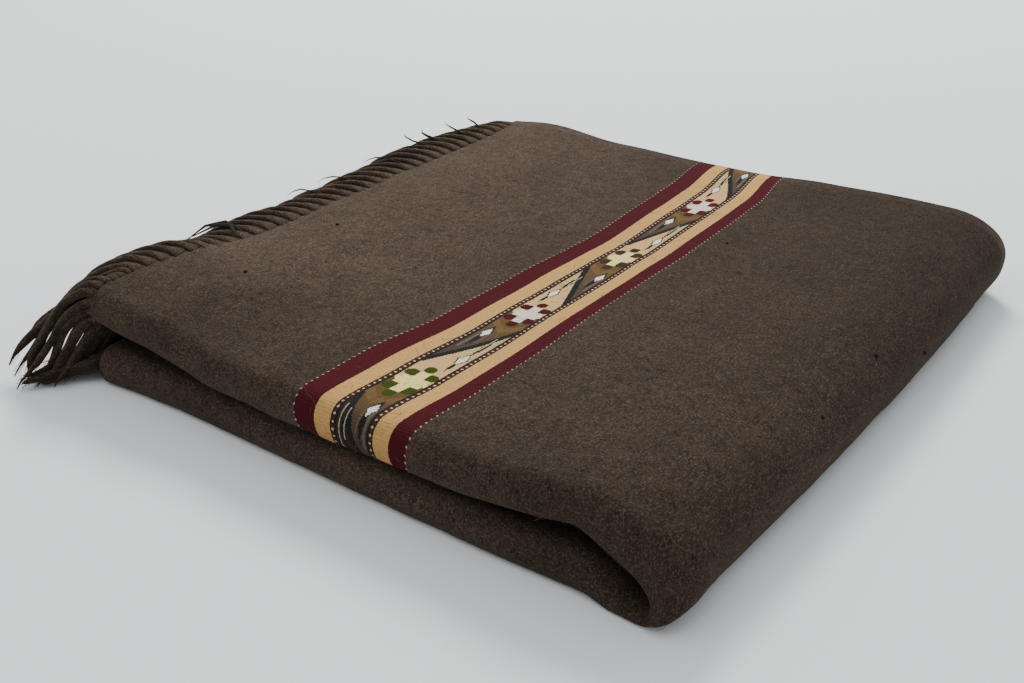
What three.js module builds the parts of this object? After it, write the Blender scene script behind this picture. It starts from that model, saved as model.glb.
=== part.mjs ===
// A folded wool shawl: one woven cloth with a twisted fringe along each of its two ends.
// Millimetres, +Z up. X runs along the folded length, from the fringed end to the big round fold,
// Y runs from the folded front edge to the open selvedges at the back, and the underside is Z = 0.
import * as THREE from 'three';

// The cloth, laid flat.
const clothWidth = 724;
const clothThickness = 2.2;
const layerPitch = 3.3;
const floorGap = (layerPitch - clothThickness) / 2;

// The folded bundle. The cloth is folded in three along its length, then in half across its
// width, with that fold at the front, and last in half round the big fold at the right.
const layersBeforeDoubling = 3;
const panelThickness = 2 * layersBeforeDoubling * layerPitch;
const foldedLength = 332;
const foldGap = 1.2;
const innerFoldRadius = foldGap / 2;
const frontFoldY = panelThickness / 2;

// The big fold is longer than it is high, and both folds sag: their side towards the floor is
// squarer than a half circle. A squareness of 1 is round, and less is squarer.
const bigFoldStretch = 1.7;
const bigFoldX = foldedLength - bigFoldStretch * (panelThickness + innerFoldRadius);
const bigFoldSag = 0.33;
const frontFoldSag = 0.45;

// Where each layer turns or ends at the left, as a distance along X.
const leftEnds = {
  fringedTop: 0,      // outer layer, upper panel
  topTurn: 9,         // middle layer turns into the inner one, upper panel
  lowTurn: 7,         // outer layer turns into the middle one, lower panel
  fringedLow: 5,      // inner layer, lower panel
};

// How far the upper panel stands off the lower one along X, at the front edge and at the back.
const panelLift = [
  { x: -30, front: 9.5, back: 1.5 },
  { x: 40, front: 8.0, back: 4.6 },
  { x: 88, front: 1.6, back: 2.4 },
  { x: 170, front: 1.4, back: 1.8 },
  { x: 225, front: 2.8, back: 4.4 },
  { x: 268, front: 6.0, back: 5.4 },
  { x: 340, front: 6.0, back: 5.0 },
];
const liftDepth = 130;

// Soft swells and hollows of the pile: height as a share of the pile's own height.
const swells = [
  { x: -4, y: 38, alongX: 34, alongY: 34, share: 0.08 },
  { x: -4, y: 68, alongX: 20, alongY: 13, share: 0.06 },
  { x: 60, y: 250, alongX: 90, alongY: 70, share: 0.02 },
  { x: 150, y: 170, alongX: 80, alongY: 80, share: -0.025 },
  { x: 262, y: 60, alongX: 60, alongY: 45, share: -0.025 },
];

// The front edge of each panel, as a shift along -Y.
const frontBow = [
  { x: -30, upper: -3.0, lower: 2.5 },
  { x: 60, upper: -0.5, lower: -1.0 },
  { x: 130, upper: 1.5, lower: 0.5 },
  { x: 210, upper: 1.0, lower: 0.5 },
  { x: 285, upper: 0.5, lower: 2.0 },
  { x: 310, upper: 3.0, lower: 2.5 },
];
const frontBowDepth = 60;

// The two front edges part where the cloth leaves the lower panel, between these raised shares.
const panelsPart = { from: 0.05, to: 0.16 };

// The big fold draws in towards its front corner, gently from far back and rounder near it.
const cornerDraws = [
  { draw: 4, depth: 230 },
  { draw: 7, depth: 16 },
];
const cornerReach = 60;

// At that corner the core of the pile slumps outwards and down, so that the gap between the two
// panels runs down to the floor there.
const cornerSlump = {
  x: 294, z: 23, outwards: 12, down: 13, left: 14, right: 33, height: 25, from: 12, to: 50,
};
const thinnestSlump = 0.3;

// The fringes: strands fused at the root into a narrow strip just off the cloth's end.
const strandPitch = 9.1;
const strandPhase = 0.25;
const strandWidth = 3.4;
const stripWidth = 3;
const seam = 0.3;
const tipTaper = 0.4;
const topRowStart = -0.005;

// Each row of strands: its length, the height at which the tips come to lie, how far the front
// ones fan out along -Y and those further back sweep that way, how much neighbours sway, and the
// share of the fall in each stretch, at the front and further back.
const fringeRows = {
  upper: {
    length: 69, rest: 7.6, fan: 28, sweep: 15, sway: 2.2,
    fallFront: [0.05, 0.33, 0.36, 0.26], fallBack: [-0.04, 0.15, 0.40, 0.49],
  },
  under: {
    length: 58, rest: 4.5, fan: 31, sweep: 12, sway: 1.6,
    fallFront: [0.34, 0.46, 0.20, 0], fallBack: [0.12, 0.46, 0.42, 0],
  },
  low: {
    length: 50, rest: clothThickness / 2 + 0.1, fan: 27, sweep: 9, sway: 0.6,
    fallFront: [0.7, 0.3, 0, 0], fallBack: [0.3, 0.5, 0.2, 0],
  },
};
const fanDepth = 32;
const fanFade = 1.3;
const floorFan = { from: -15, to: -18 };
const frontFall = { from: 12, to: 50 };
const lengthSpread = 0.05;
const steepestFall = 0.96;

// Mesh resolution, in steps for each stretch.
const steps = { upperRun: 11, bigFold: 10, lowerRun: 7, turn: 4, frontFold: 8, depth: 8 };
const frontCrowding = 1.5;

const lerp = (a, b, k) => a + (b - a) * k;
const crowdEnds = (k) => (k + k * k * (3 - 2 * k)) / 2;
const smooth = (a, b, value) => THREE.MathUtils.smoothstep(value, Math.min(a, b), Math.max(a, b));

function tableValue(table, x, column) {
  let low = table[0];
  for (const row of table) {
    if (x <= row.x) {
      const span = row.x - low.x;
      const k = span > 0 ? smooth(low.x, row.x, x) : 0;
      return lerp(low[column], row[column], k);
    }
    low = row;
  }
  return low[column];
}

// Repeatable unevenness between -1 and 1 for strand number n.
function uneven(n, salt) {
  const value = Math.sin(n * 12.9898 + salt * 78.233) * 43758.5453;
  return 2 * (value - Math.floor(value)) - 1;
}

// First bend: across the width, round the front fold. across runs from -1 at the lower selvedge
// through 0 at the middle of the fold to 1 at the upper selvedge. depth is that of the cloth's
// middle surface, measured inwards from the outside of the bundle, and offset goes on inwards
// from there.
function bendFront(across, depth, offset, raised) {
  const radius = frontFoldY - depth;
  const halfArc = Math.PI * radius / 2;
  const along = Math.abs(across) * clothWidth / 2;
  const side = Math.sign(across);
  const reach = radius - offset;
  if (along <= halfArc) {
    const angle = along / radius;
    const squareness = side < 0 ? lerp(1, frontFoldSag, raised) : lerp(frontFoldSag, 1, raised);
    const forward = reach * Math.max(Math.cos(angle), 0) ** squareness;
    return { y: frontFoldY - forward, depth: frontFoldY - side * reach * Math.sin(angle) };
  }
  return { y: frontFoldY + along - halfArc, depth: frontFoldY - side * reach };
}

// Second bend: along the length, round the big fold. A place on the bundle's length is given by
// its run, upper, fold or lower, and by x on a run or by the angle turned so far in the fold.
function bendLength(place, depth) {
  const radius = panelThickness + innerFoldRadius - depth;
  const middle = panelThickness + innerFoldRadius;
  if (place.run === 'upper') return { x: place.x, z: middle + radius };
  if (place.run === 'lower') return { x: place.x, z: middle - radius };
  const squareness = place.angle > Math.PI / 2 ? bigFoldSag : 1;
  const out = radius * bigFoldStretch * Math.max(Math.sin(place.angle), 0) ** squareness;
  return { x: bigFoldX + out, z: middle + radius * Math.cos(place.angle) };
}

// The share of the upper panel's own movement that a place takes part in.
function raisedShare(place) {
  if (place.run === 'fold') return (1 + Math.cos(place.angle)) / 2;
  return place.run === 'upper' ? 1 : 0;
}

// The pile settles: the panels part a little, swell and sink, and their front edges wander.
function settle(x, y, z, raised) {
  let share = 1;
  for (const s of swells) {
    share += s.share * Math.exp(-(((x - s.x) / s.alongX) ** 2) - ((y - s.y) / s.alongY) ** 2);
  }
  const [front, back] = [tableValue(panelLift, x, 'front'), tableValue(panelLift, x, 'back')];
  const lift = lerp(front, back, smooth(0, liftDepth, y));
  const aboveFold = smooth(panelsPart.from, panelsPart.to, raised);
  const bow = lerp(tableValue(frontBow, x, 'lower'), tableValue(frontBow, x, 'upper'), aboveFold);
  const nearFront = 1 - smooth(0, frontBowDepth, y);
  const nearFold = smooth(bigFoldX - cornerReach, foldedLength, x);
  const drawn = cornerDraws.reduce((sum, c) => sum + c.draw * (1 - smooth(0, c.depth, y)), 0);
  const at = new THREE.Vector3(x - drawn * nearFold, y - bow * nearFront, (z + raised * lift) * share);
  const slump = cornerSlump;
  const aside = (at.x - slump.x) / (at.x < slump.x ? slump.left : slump.right);
  const slumped = Math.max(1 - Math.hypot(aside, (at.z - slump.z) / slump.height), 0)
    * (1 - smooth(slump.from, slump.to, y));
  at.x += slump.outwards * slumped;
  at.z = Math.max(at.z - slump.down * slumped, at.z * thinnestSlump);
  return at;
}

function clothPoint(place, across, depth, offset) {
  const raised = raisedShare(place);
  const front = bendFront(across, depth, offset, raised);
  const length = bendLength(place, front.depth);
  return settle(length.x, front.y, length.z - floorGap, raised);
}

// Stations along the cloth's length, from the fringed end on top to the fringed end below. Each
// has its place on the bundle, the depth of its layer, and the way that its thickness points.
function lengthStations() {
  const depthOf = (layer) => (layer + 0.5) * layerPitch;
  const stations = [];
  const add = (place, depth, nx = 0, nd = 1) => stations.push({ place, depth, nx, nd });
  const layer = (number, fromX, toX, forward) => {
    const depth = depthOf(number);
    const nd = forward ? 1 : -1;
    const places = [];
    for (let i = 0; i < steps.upperRun; i++) {
      places.push({ run: 'upper', x: lerp(fromX, bigFoldX, crowdEnds(i / steps.upperRun)) });
    }
    for (let i = 0; i < steps.bigFold; i++) {
      places.push({ run: 'fold', angle: Math.PI * i / steps.bigFold });
    }
    for (let i = 0; i <= steps.lowerRun; i++) {
      places.push({ run: 'lower', x: lerp(bigFoldX, toX, crowdEnds(i / steps.lowerRun)) });
    }
    if (!forward) places.reverse();
    for (const place of places) add(place, depth, 0, nd);
  };
  const turn = (run, x, from) => {
    for (let i = 1; i < steps.turn; i++) {
      const angle = Math.PI * i / steps.turn;
      const reach = layerPitch / 2;
      const depth = depthOf(from) + reach * (1 - Math.cos(angle));
      const nd = Math.cos(angle) * (from === 0 ? 1 : -1);
      const nx = Math.sin(angle) * (from === 0 ? 1 : -1);
      add({ run, x: x - reach * Math.sin(angle) }, depth, nx, nd);
    }
  };
  layer(0, leftEnds.fringedTop, leftEnds.lowTurn, true);
  turn('lower', leftEnds.lowTurn, 0);
  layer(1, leftEnds.topTurn, leftEnds.lowTurn, false);
  turn('upper', leftEnds.topTurn, 1);
  layer(2, leftEnds.topTurn, leftEnds.fringedLow, true);
  return stations;
}

function stationPoint(station, across, side) {
  const offset = side * clothThickness / 2;
  const place = { ...station.place };
  if (place.run !== 'fold') place.x += station.nx * offset;
  return clothPoint(place, across, station.depth, station.nd * offset);
}

// Stations across the width, as shares of half the width, closer together round the front fold.
function widthStations(depth) {
  const halfArcShare = Math.PI * (frontFoldY - depth) / clothWidth;
  const shares = [];
  const back = (i) => lerp(halfArcShare, 1, (i / steps.depth) ** frontCrowding);
  for (let i = 0; i < steps.depth; i++) shares.push(-back(steps.depth - i));
  for (let i = 0; i < steps.frontFold; i++) shares.push(halfArcShare * (2 * i / steps.frontFold - 1));
  for (let i = 0; i <= steps.depth; i++) shares.push(back(i));
  return shares;
}

// A point on the straight stretch between the two nearest stations across the width.
function edgePoint(place, across, depth, offset) {
  const shares = widthStations(depth);
  const after = Math.max(shares.findIndex((share) => share >= across), 1);
  const [low, high] = [shares[after - 1], shares[after]];
  const k = (across - low) / (high - low);
  return clothPoint(place, low, depth, offset).lerp(clothPoint(place, high, depth, offset), k);
}

// A closed body collected face by face, with shared corners. A body that is laid out on the
// upper run faces the other way from one on the lower run, so its faces are listed in reverse.
class Body {
  constructor(turnedOver = false) {
    this.points = [];
    this.faces = [];
    this.turnedOver = turnedOver;
  }

  point(p) {
    this.points.push(p.x, p.y, p.z);
    return this.points.length / 3 - 1;
  }

  quad(a, b, c, d) {
    if (this.turnedOver) this.faces.push(a, c, b, a, d, c);
    else this.faces.push(a, b, c, a, c, d);
  }

  mesh(name, material) {
    const geometry = new THREE.BufferGeometry();
    geometry.setAttribute('position', new THREE.Float32BufferAttribute(this.points, 3));
    geometry.setIndex(this.faces);
    geometry.computeVertexNormals();
    const mesh = new THREE.Mesh(geometry, material);
    mesh.name = name;
    return mesh;
  }
}

function makeCloth() {
  const body = new Body();
  const stations = lengthStations();
  const grid = stations.map((station) => {
    const shares = widthStations(station.depth);
    return [1, -1].map((side) => shares.map((share) => body.point(stationPoint(station, share, side))));
  });
  const last = grid[0][0].length - 1;
  for (let i = 0; i + 1 < grid.length; i++) {
    const [innerA, outerA] = grid[i];
    const [innerB, outerB] = grid[i + 1];
    for (let j = 0; j < last; j++) {
      body.quad(outerA[j], outerB[j], outerB[j + 1], outerA[j + 1]);
      body.quad(innerA[j], innerA[j + 1], innerB[j + 1], innerB[j]);
    }
    body.quad(outerA[0], innerA[0], innerB[0], outerB[0]);
    body.quad(outerA[last], outerB[last], innerB[last], innerA[last]);
  }
  const closeEnd = ([inner, outer], atStart) => {
    for (let j = 0; j < last; j++) {
      if (atStart) body.quad(outer[j], outer[j + 1], inner[j + 1], inner[j]);
      else body.quad(outer[j], inner[j], inner[j + 1], outer[j + 1]);
    }
  };
  closeEnd(grid[0], true);
  closeEnd(grid[grid.length - 1], false);
  return body;
}

// A strand leaves its root straight out, falls stretch by stretch, and ends on what carries it.
// The strands nearest the front fan out, and the foremost reach the floor.
function strandPath(root, row, n, salt) {
  const stretches = row.fallFront.length;
  const step = row.length * (1 + lengthSpread * uneven(n, salt)) / stretches;
  const fan = lerp(row.fan, row.sweep, THREE.MathUtils.clamp(root.y / fanDepth, 0, 1) ** fanFade);
  const onFloor = smooth(floorFan.to, floorFan.from, root.y - fan);
  const drop = root.z - lerp(fringeRows.low.rest, row.rest, onFloor);
  const side = (row.sway * uneven(n, salt + 1) - fan) / stretches;
  const further = smooth(frontFall.from, frontFall.to, root.y);
  const at = root.clone();
  return row.fallFront.map((share, i) => {
    const down = Math.min(drop * lerp(share, row.fallBack[i], further), step * steepestFall);
    const out = Math.sqrt(Math.max(step ** 2 - down ** 2 - side ** 2, 1));
    at.add(new THREE.Vector3(-out, side, -down));
    return at.clone();
  });
}

function makeFringe(run, endX, layer, rowOf, salt) {
  const body = new Body(run === 'upper');
  const depth = (layer + 0.5) * layerPitch;
  const half = clothWidth / 2;
  const count = Math.floor((clothWidth - strandPitch) / strandPitch);
  const first = -(count - 1) / 2 + strandPhase;
  const at = (share, back, side) => {
    const p = edgePoint({ run, x: endX }, share, depth, side * clothThickness / 2);
    p.x -= back;
    return p;
  };
  const ring = (share) => [
    body.point(at(share, seam, -1)),
    body.point(at(share, seam, 1)),
    body.point(at(share, seam + stripWidth, 1)),
    body.point(at(share, seam + stripWidth, -1)),
  ];
  const corners = widthStations(depth);
  let previous = ring(-1);
  let reached = -1;
  const firstRing = previous;
  const link = (a, b, open) => {
    body.quad(a[0], b[0], b[1], a[1]);
    body.quad(a[1], b[1], b[2], a[2]);
    body.quad(a[3], b[3], b[0], a[0]);
    if (!open) body.quad(a[2], b[2], b[3], a[3]);
  };
  const closedUpTo = (share) => {
    for (const corner of [...corners.filter((c) => c > reached + 1e-6 && c < share - 1e-6), share]) {
      const next = ring(corner);
      link(previous, next, false);
      previous = next;
    }
    reached = share;
  };
  const vector = (index) => new THREE.Vector3().fromArray(body.points, index * 3);
  for (let n = 0; n < count; n++) {
    const middle = (first + n) * strandPitch / half;
    closedUpTo(middle - strandWidth / 2 / half);
    const near = previous;
    reached = middle + strandWidth / 2 / half;
    const far = ring(reached);
    link(near, far, true);
    previous = far;
    let section = [near[2], far[2], far[3], near[3]];
    const start = section.map(vector);
    const root = start.reduce((sum, c) => sum.addScaledVector(c, 0.25), new THREE.Vector3());
    const row = rowOf(middle);
    const path = strandPath(root, row, n, salt);
    const offsets = start.map((c) => ({ right: root.y - c.y, high: c.z - root.z }));
    path.forEach((centre, i) => {
      const before = i > 0 ? path[i - 1] : root;
      const after = path[i + 1] ?? centre;
      const way = after.clone().sub(before).normalize();
      const across = new THREE.Vector3(-way.y, way.x, 0).normalize();
      const up = new THREE.Vector3().crossVectors(way, across).normalize();
      const taper = i === path.length - 1 ? tipTaper : 1;
      const next = offsets.map(({ right, high }) => body.point(
        centre.clone().addScaledVector(across, right * taper).addScaledVector(up, high * taper)));
      for (let c = 0; c < 4; c++) {
        const d = (c + 1) % 4;
        body.quad(section[c], section[d], next[d], next[c]);
      }
      section = next;
    });
    body.quad(section[0], section[1], section[2], section[3]);
  }
  closedUpTo(1);
  body.quad(firstRing[0], firstRing[1], firstRing[2], firstRing[3]);
  body.quad(previous[3], previous[2], previous[1], previous[0]);
  return body;
}

const wool = new THREE.MeshStandardMaterial({ color: 0x4c4238, roughness: 0.95, metalness: 0 });
const twistedWool = new THREE.MeshStandardMaterial({ color: 0x3d352c, roughness: 0.95, metalness: 0 });

const shawl = new THREE.Group();
shawl.add(makeCloth().mesh('shawl_cloth', wool));
const topRows = (share) => (share > topRowStart ? fringeRows.upper : fringeRows.under);
const lowRows = () => fringeRows.low;
const topFringe = makeFringe('upper', leftEnds.fringedTop, 0, topRows, 3);
const lowFringe = makeFringe('lower', leftEnds.fringedLow, 2, lowRows, 11);
shawl.add(topFringe.mesh('fringe_top_end', twistedWool));
shawl.add(lowFringe.mesh('fringe_low_end', twistedWool));

// The origin is the middle of the underside of the whole part.
const middle = new THREE.Box3().setFromObject(shawl).getCenter(new THREE.Vector3());
for (const mesh of shawl.children) mesh.position.set(-middle.x, -middle.y, 0);

export default shawl;
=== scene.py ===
# A folded wool shawl with a woven border and twisted fringes, dressed over its CAD model.
# The cloth and the fringes are laid out in millimetres on the pile's own axes and then placed.
import bpy
import math
import random
from mathutils import Matrix, Vector, noise


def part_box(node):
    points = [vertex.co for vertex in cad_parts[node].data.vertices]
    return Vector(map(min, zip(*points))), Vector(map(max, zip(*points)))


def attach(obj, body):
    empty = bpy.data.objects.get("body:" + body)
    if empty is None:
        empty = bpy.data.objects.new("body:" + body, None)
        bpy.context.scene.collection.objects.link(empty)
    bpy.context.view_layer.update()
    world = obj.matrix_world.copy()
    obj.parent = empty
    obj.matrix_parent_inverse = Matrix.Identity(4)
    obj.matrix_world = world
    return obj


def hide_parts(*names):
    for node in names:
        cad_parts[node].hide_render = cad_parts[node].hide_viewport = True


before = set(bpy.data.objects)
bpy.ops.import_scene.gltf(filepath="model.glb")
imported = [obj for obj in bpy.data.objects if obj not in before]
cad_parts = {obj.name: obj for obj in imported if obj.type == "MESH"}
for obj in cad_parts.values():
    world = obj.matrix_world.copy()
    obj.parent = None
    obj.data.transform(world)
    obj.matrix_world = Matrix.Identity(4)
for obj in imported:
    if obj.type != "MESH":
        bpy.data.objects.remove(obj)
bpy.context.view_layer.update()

random.seed(12)


def smooth(start, end, value):
    k = min(max((value - start) / (end - start), 0.0), 1.0)
    return k * k * (3 - 2 * k)


def blend(a, b, k):
    return a + (b - a) * k


def easedValue(table, place, column, key="x"):
    low = table[0]
    for row in table:
        if place <= row[key]:
            span = row[key] - low[key]
            k = smooth(low[key], row[key], place) if span > 0 else 0
            return blend(low[column], row[column], k)
        low = row
    return low[column]


def straightValue(table, place, column, key="y"):
    for low, high in zip(table, table[1:]):
        if place <= high[key]:
            return blend(low[column], high[column], (place - low[key]) / (high[key] - low[key]))
    return table[-1][column]


def rows(names, *values):
    return [dict(zip(names.split(), row)) for row in values]


def runsAlong(points):
    # how far along the way each point lies
    runs = [0.0]
    for a, b in zip(points, points[1:]):
        runs.append(runs[-1] + (b - a).length)
    return runs


# the pile's place: its fold and its open selvedges reach the far corner of the cloth's box
cloth = {
    "width": 724, "thick": 2.2, "pitch": 3.3, "layers": 3,
    "foldedLength": 332, "foldGap": 1.2,
    "foldStretch": 1.7, "bigFoldSag": 0.33, "frontFoldSag": 0.45,
    "topEnd": 0, "topTurn": 9, "lowTurn": 7, "lowEnd": 5,   # where the layers stop at the left
    "reachX": 331.02, "reachY": 369.35,                     # far corner of the cloth in the pile
}
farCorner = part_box("shawl_cloth")[1]
pileOrigin = Vector((
    farCorner.x - cloth["reachX"] / 1000, farCorner.y - cloth["reachY"] / 1000, 0))


def placed(x, y, z):
    return Vector((x, y, z)) / 1000 + pileOrigin


# camera, floor and soft light
view = {
    "place": (468.19, -288.23, 283.80),       # in the pile's own axes
    "yaw": 36.39, "tilt": 62.71, "roll": -0.52, "lens": 41.53, "sensor": 36, "nearest": 0.01,
}
bpy.ops.object.select_all(action="DESELECT")
bpy.ops.object.camera_add(location=placed(*view["place"]))
camera = bpy.context.object
camera.name = "photo_view"
yaw, tilt, roll = (
    Matrix.Rotation(math.radians(view[name]), 3, axis)
    for name, axis in (("yaw", "Z"), ("tilt", "X"), ("roll", "Z")))
camera.rotation_euler = (yaw @ tilt @ roll).to_euler()
camera.data.lens = view["lens"]
camera.data.sensor_width = view["sensor"]
camera.data.clip_start = view["nearest"]
bpy.context.scene.camera = camera

floorLook = {"size": 8.0, "colour": (0.85, 0.865, 0.87, 1), "roughness": 0.85, "shine": 0.15}
bpy.ops.mesh.primitive_plane_add(size=floorLook["size"], location=(0, 0, 0))
floor = bpy.context.object
floor.name = "pale_floor"
floorFinish = bpy.data.materials.new("pale_cotton")
floorFinish.use_nodes = True
floorShader = floorFinish.node_tree.nodes["Principled BSDF"]
floorShader.inputs["Base Color"].default_value = floorLook["colour"]
floorShader.inputs["Roughness"].default_value = floorLook["roughness"]
floorShader.inputs["Specular IOR Level"].default_value = floorLook["shine"]
floor.data.materials.append(floorFinish)

lamps = [          # each is aimed at the middle of the floor
    {"name": "window_light", "place": (-0.95, 1.72, 1.86), "size": 0.85, "power": 71},
    {"name": "room_light", "place": (0.3, -0.9, 2.3), "size": 2.2, "power": 18},
]
for row in lamps:
    bpy.ops.object.light_add(type="AREA", location=row["place"])
    lamp = bpy.context.object
    lamp.name = row["name"]
    lamp.data.size = row["size"]
    lamp.data.energy = row["power"]
    lamp.rotation_euler = (-Vector(row["place"])).to_track_quat("-Z", "Y").to_euler()

roomGlow = {"colour": (0.93, 0.97, 1.0, 1), "strength": 0.74}
surround = bpy.data.worlds.new("soft_room")
surround.use_nodes = True
glow = surround.node_tree.nodes["Background"]
glow.inputs["Color"].default_value = roomGlow["colour"]
glow.inputs["Strength"].default_value = roomGlow["strength"]
bpy.context.scene.world = surround
print("stage: camera, floor and light")


# folding: first across the width round the front fold, then along the length round the big one
panel = 2 * cloth["layers"] * cloth["pitch"]
frontFold = panel / 2
bigFold = cloth["foldedLength"] - cloth["foldStretch"] * (panel + cloth["foldGap"] / 2)
floorGap = (cloth["pitch"] - cloth["thick"]) / 2
topDepth = cloth["pitch"] / 2       # how deep the outermost layer's middle lies

panelLift = rows(  # how far the upper panel stands off the lower one
    "x front back",
    (-30, 9.5, 1.5),
    (40, 8.0, 4.6),
    (88, 1.6, 2.4),
    (170, 1.4, 1.8),
    (225, 2.8, 4.4),
    (268, 6.0, 5.4),
    (340, 6.0, 5.0),
)
swells = rows(     # soft swells and hollows, as a share of the height
    "x y alongX alongY share",
    (-4, 38, 34, 34, 0.08),
    (-4, 68, 20, 13, 0.06),
    (60, 250, 90, 70, 0.02),
    (150, 170, 80, 80, -0.025),
    (262, 60, 60, 45, -0.025),
    (6, 350, 46, 42, 0.07),
)
frontBow = rows(   # how the two front edges wander
    "x upper lower",
    (-30, -3.0, 2.5),
    (60, -0.5, -2.4),
    (130, 1.5, -1.2),
    (210, 1.0, -0.3),
    (250, 1.2, -0.4),
    (285, -1.5, -1.3),
    (312, 1.5, 0.0),
)
foldBow = [        # and the fold on the right
    {"y": 20, "out": 0.0}, {"y": 110, "out": 2.2}, {"y": 270, "out": 2.6}, {"y": 340, "out": 1.2},
]
reaches = {        # how far from the front edge or the fold each of these forms runs
    "lift": 130, "frontBow": 60, "foldBow": 20, "corner": 60,
}
upperPart = {"from": 0.05, "to": 0.16}      # shares of the height where the upper panel begins
pinch = {"from": 262, "to": 294, "square": 1.7}    # the upper roll thins towards the fold
cornerDraws = [{"draw": 4, "depth": 230}, {"draw": 4.5, "depth": 16}]      # the fold's front end
backCorner = {"draw": 5, "from": 326, "to": 358, "left": -2, "right": 24}    # by the fringe
slump = {          # at the fold's front corner the core of the pile sinks outwards and down
    "x": 295, "z": 23, "outwards": 17, "down": 16, "left": 15, "right": 34, "height": 26,
    "from": 12, "to": 50, "thinnest": 0.3,
}
ripple = {         # the nap and the weave never lie quite flat
    "height": 0.55, "length": 34, "squash": 0.6, "floor": 1.2, "free": 6,
    "edge": 0.5, "edgeLength": 16, "edgeShift": (7, 3, 1), "front": 4, "frontEnd": 30, "fold": 25,
}


def bendFront(along, depth, raised, thinned=0):
    radius = frontFold - depth
    halfArc = math.pi * radius / 2
    distance = abs(along)
    side = 1 if along >= 0 else -1
    if distance <= halfArc:
        angle = distance / radius
        sag = cloth["frontFoldSag"]
        lowerHalf = blend(sag, pinch["square"], thinned)
        square = blend(1, lowerHalf, raised) if side < 0 else blend(sag, 1, raised)
        forward = radius * max(math.cos(angle), 0) ** square
        return frontFold - forward, frontFold - side * radius * math.sin(angle)
    return frontFold + distance - halfArc, frontFold - side * radius


def bendLength(place, depth):
    middle = panel + cloth["foldGap"] / 2
    radius = middle - depth
    run, value = place
    if run == "upper":
        return value, middle + radius
    if run == "lower":
        return value, middle - radius
    square = cloth["bigFoldSag"] if value > math.pi / 2 else 1
    out = radius * cloth["foldStretch"] * max(math.sin(value), 0) ** square
    return bigFold + out, middle + radius * math.cos(value)


def raisedShare(place):
    if place[0] == "fold":
        return (1 + math.cos(place[1])) / 2
    return 1 if place[0] == "upper" else 0


def settle(x, y, z, raised):
    share = 1
    for s in swells:
        share += s["share"] * math.exp(
            -((x - s["x"]) / s["alongX"]) ** 2 - ((y - s["y"]) / s["alongY"]) ** 2)
    lift = blend(
        easedValue(panelLift, x, "front"), easedValue(panelLift, x, "back"),
        smooth(0, reaches["lift"], y))
    above = smooth(upperPart["from"], upperPart["to"], raised)
    bow = blend(easedValue(frontBow, x, "lower"), easedValue(frontBow, x, "upper"), above)
    bow *= 1 - smooth(0, reaches["frontBow"], y)
    drawn = sum(c["draw"] * (1 - smooth(0, c["depth"], y)) for c in cornerDraws)
    drawn *= smooth(bigFold - reaches["corner"], cloth["foldedLength"], x)
    bowed = easedValue(foldBow, y, "out", "y")
    bowed *= smooth(bigFold - reaches["foldBow"], cloth["foldedLength"], x)
    atX, atZ = x - drawn + bowed, (z + raised * lift) * share
    nip = backCorner["draw"] * smooth(backCorner["from"], backCorner["to"], y)
    y -= nip * (1 - smooth(backCorner["left"], backCorner["right"], x))
    aside = (atX - slump["x"]) / (slump["left"] if atX < slump["x"] else slump["right"])
    sunk = max(1 - math.hypot(aside, (atZ - slump["z"]) / slump["height"]), 0)
    sunk *= 1 - smooth(slump["from"], slump["to"], y)
    atZ = max(atZ - slump["down"] * sunk, atZ * slump["thinnest"])
    return atX + slump["outwards"] * sunk, y - bow, atZ


def clothPoint(place, along, depth):
    raised = raisedShare(place)
    far = place[1] if place[0] != "fold" else pinch["to"]
    y, layerDepth = bendFront(along, depth, raised, smooth(pinch["from"], pinch["to"], far))
    x, z = bendLength(place, layerDepth)
    return Vector(settle(x, y, z - floorGap, raised))


def rippled(p):
    flattened = Vector((p.x, p.y, p.z * ripple["squash"]))
    wave = noise.noise(flattened / ripple["length"]) * ripple["height"]
    wave *= smooth(ripple["floor"], ripple["free"], p.z)
    shifted = p / ripple["edgeLength"] + Vector(ripple["edgeShift"])
    edge = noise.noise(shifted) * ripple["edge"]
    nearFront = 1 - smooth(ripple["front"], ripple["frontEnd"], p.y)
    nearFold = smooth(bigFold, bigFold + ripple["fold"], p.x)
    return Vector((p.x + edge * nearFold, p.y + edge * nearFront, p.z + wave))


# the cloth: one grid, from the fringed end on top to the fringed end below
grid = {
    "upper": 66, "fold": 26, "lower": 40,               # outer layer
    "innerUpper": 12, "innerFold": 12, "innerLower": 12, "turn": 6,
    "front": 26, "back": 44, "spread": 1.25,            # closer together near the front
}


def lengthStations():
    stations = []

    def layer(number, fromX, toX, forward, counts):
        depth = (number + 0.5) * cloth["pitch"]
        upper, fold, lower = counts
        places = [("upper", blend(fromX, bigFold, i / upper)) for i in range(upper)]
        places += [("fold", math.pi * i / fold) for i in range(fold)]
        places += [("lower", blend(bigFold, toX, i / lower)) for i in range(lower + 1)]
        if not forward:
            places.reverse()
        stations.extend((place, depth) for place in places)

    def turnBack(run, x, number):
        reach = cloth["pitch"] / 2
        for i in range(1, grid["turn"]):
            angle = math.pi * i / grid["turn"]
            depth = (number + 0.5) * cloth["pitch"] + reach * (1 - math.cos(angle))
            stations.append(((run, x - reach * math.sin(angle)), depth))

    outer = (grid["upper"], grid["fold"], grid["lower"])
    inner = (grid["innerUpper"], grid["innerFold"], grid["innerLower"])
    layer(0, cloth["topEnd"], cloth["lowTurn"], True, outer)
    turnBack("lower", cloth["lowTurn"], 0)
    layer(1, cloth["topTurn"], cloth["lowTurn"], False, inner)
    turnBack("upper", cloth["topTurn"], 1)
    layer(2, cloth["topTurn"], cloth["lowEnd"], True, inner)
    return stations


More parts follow.
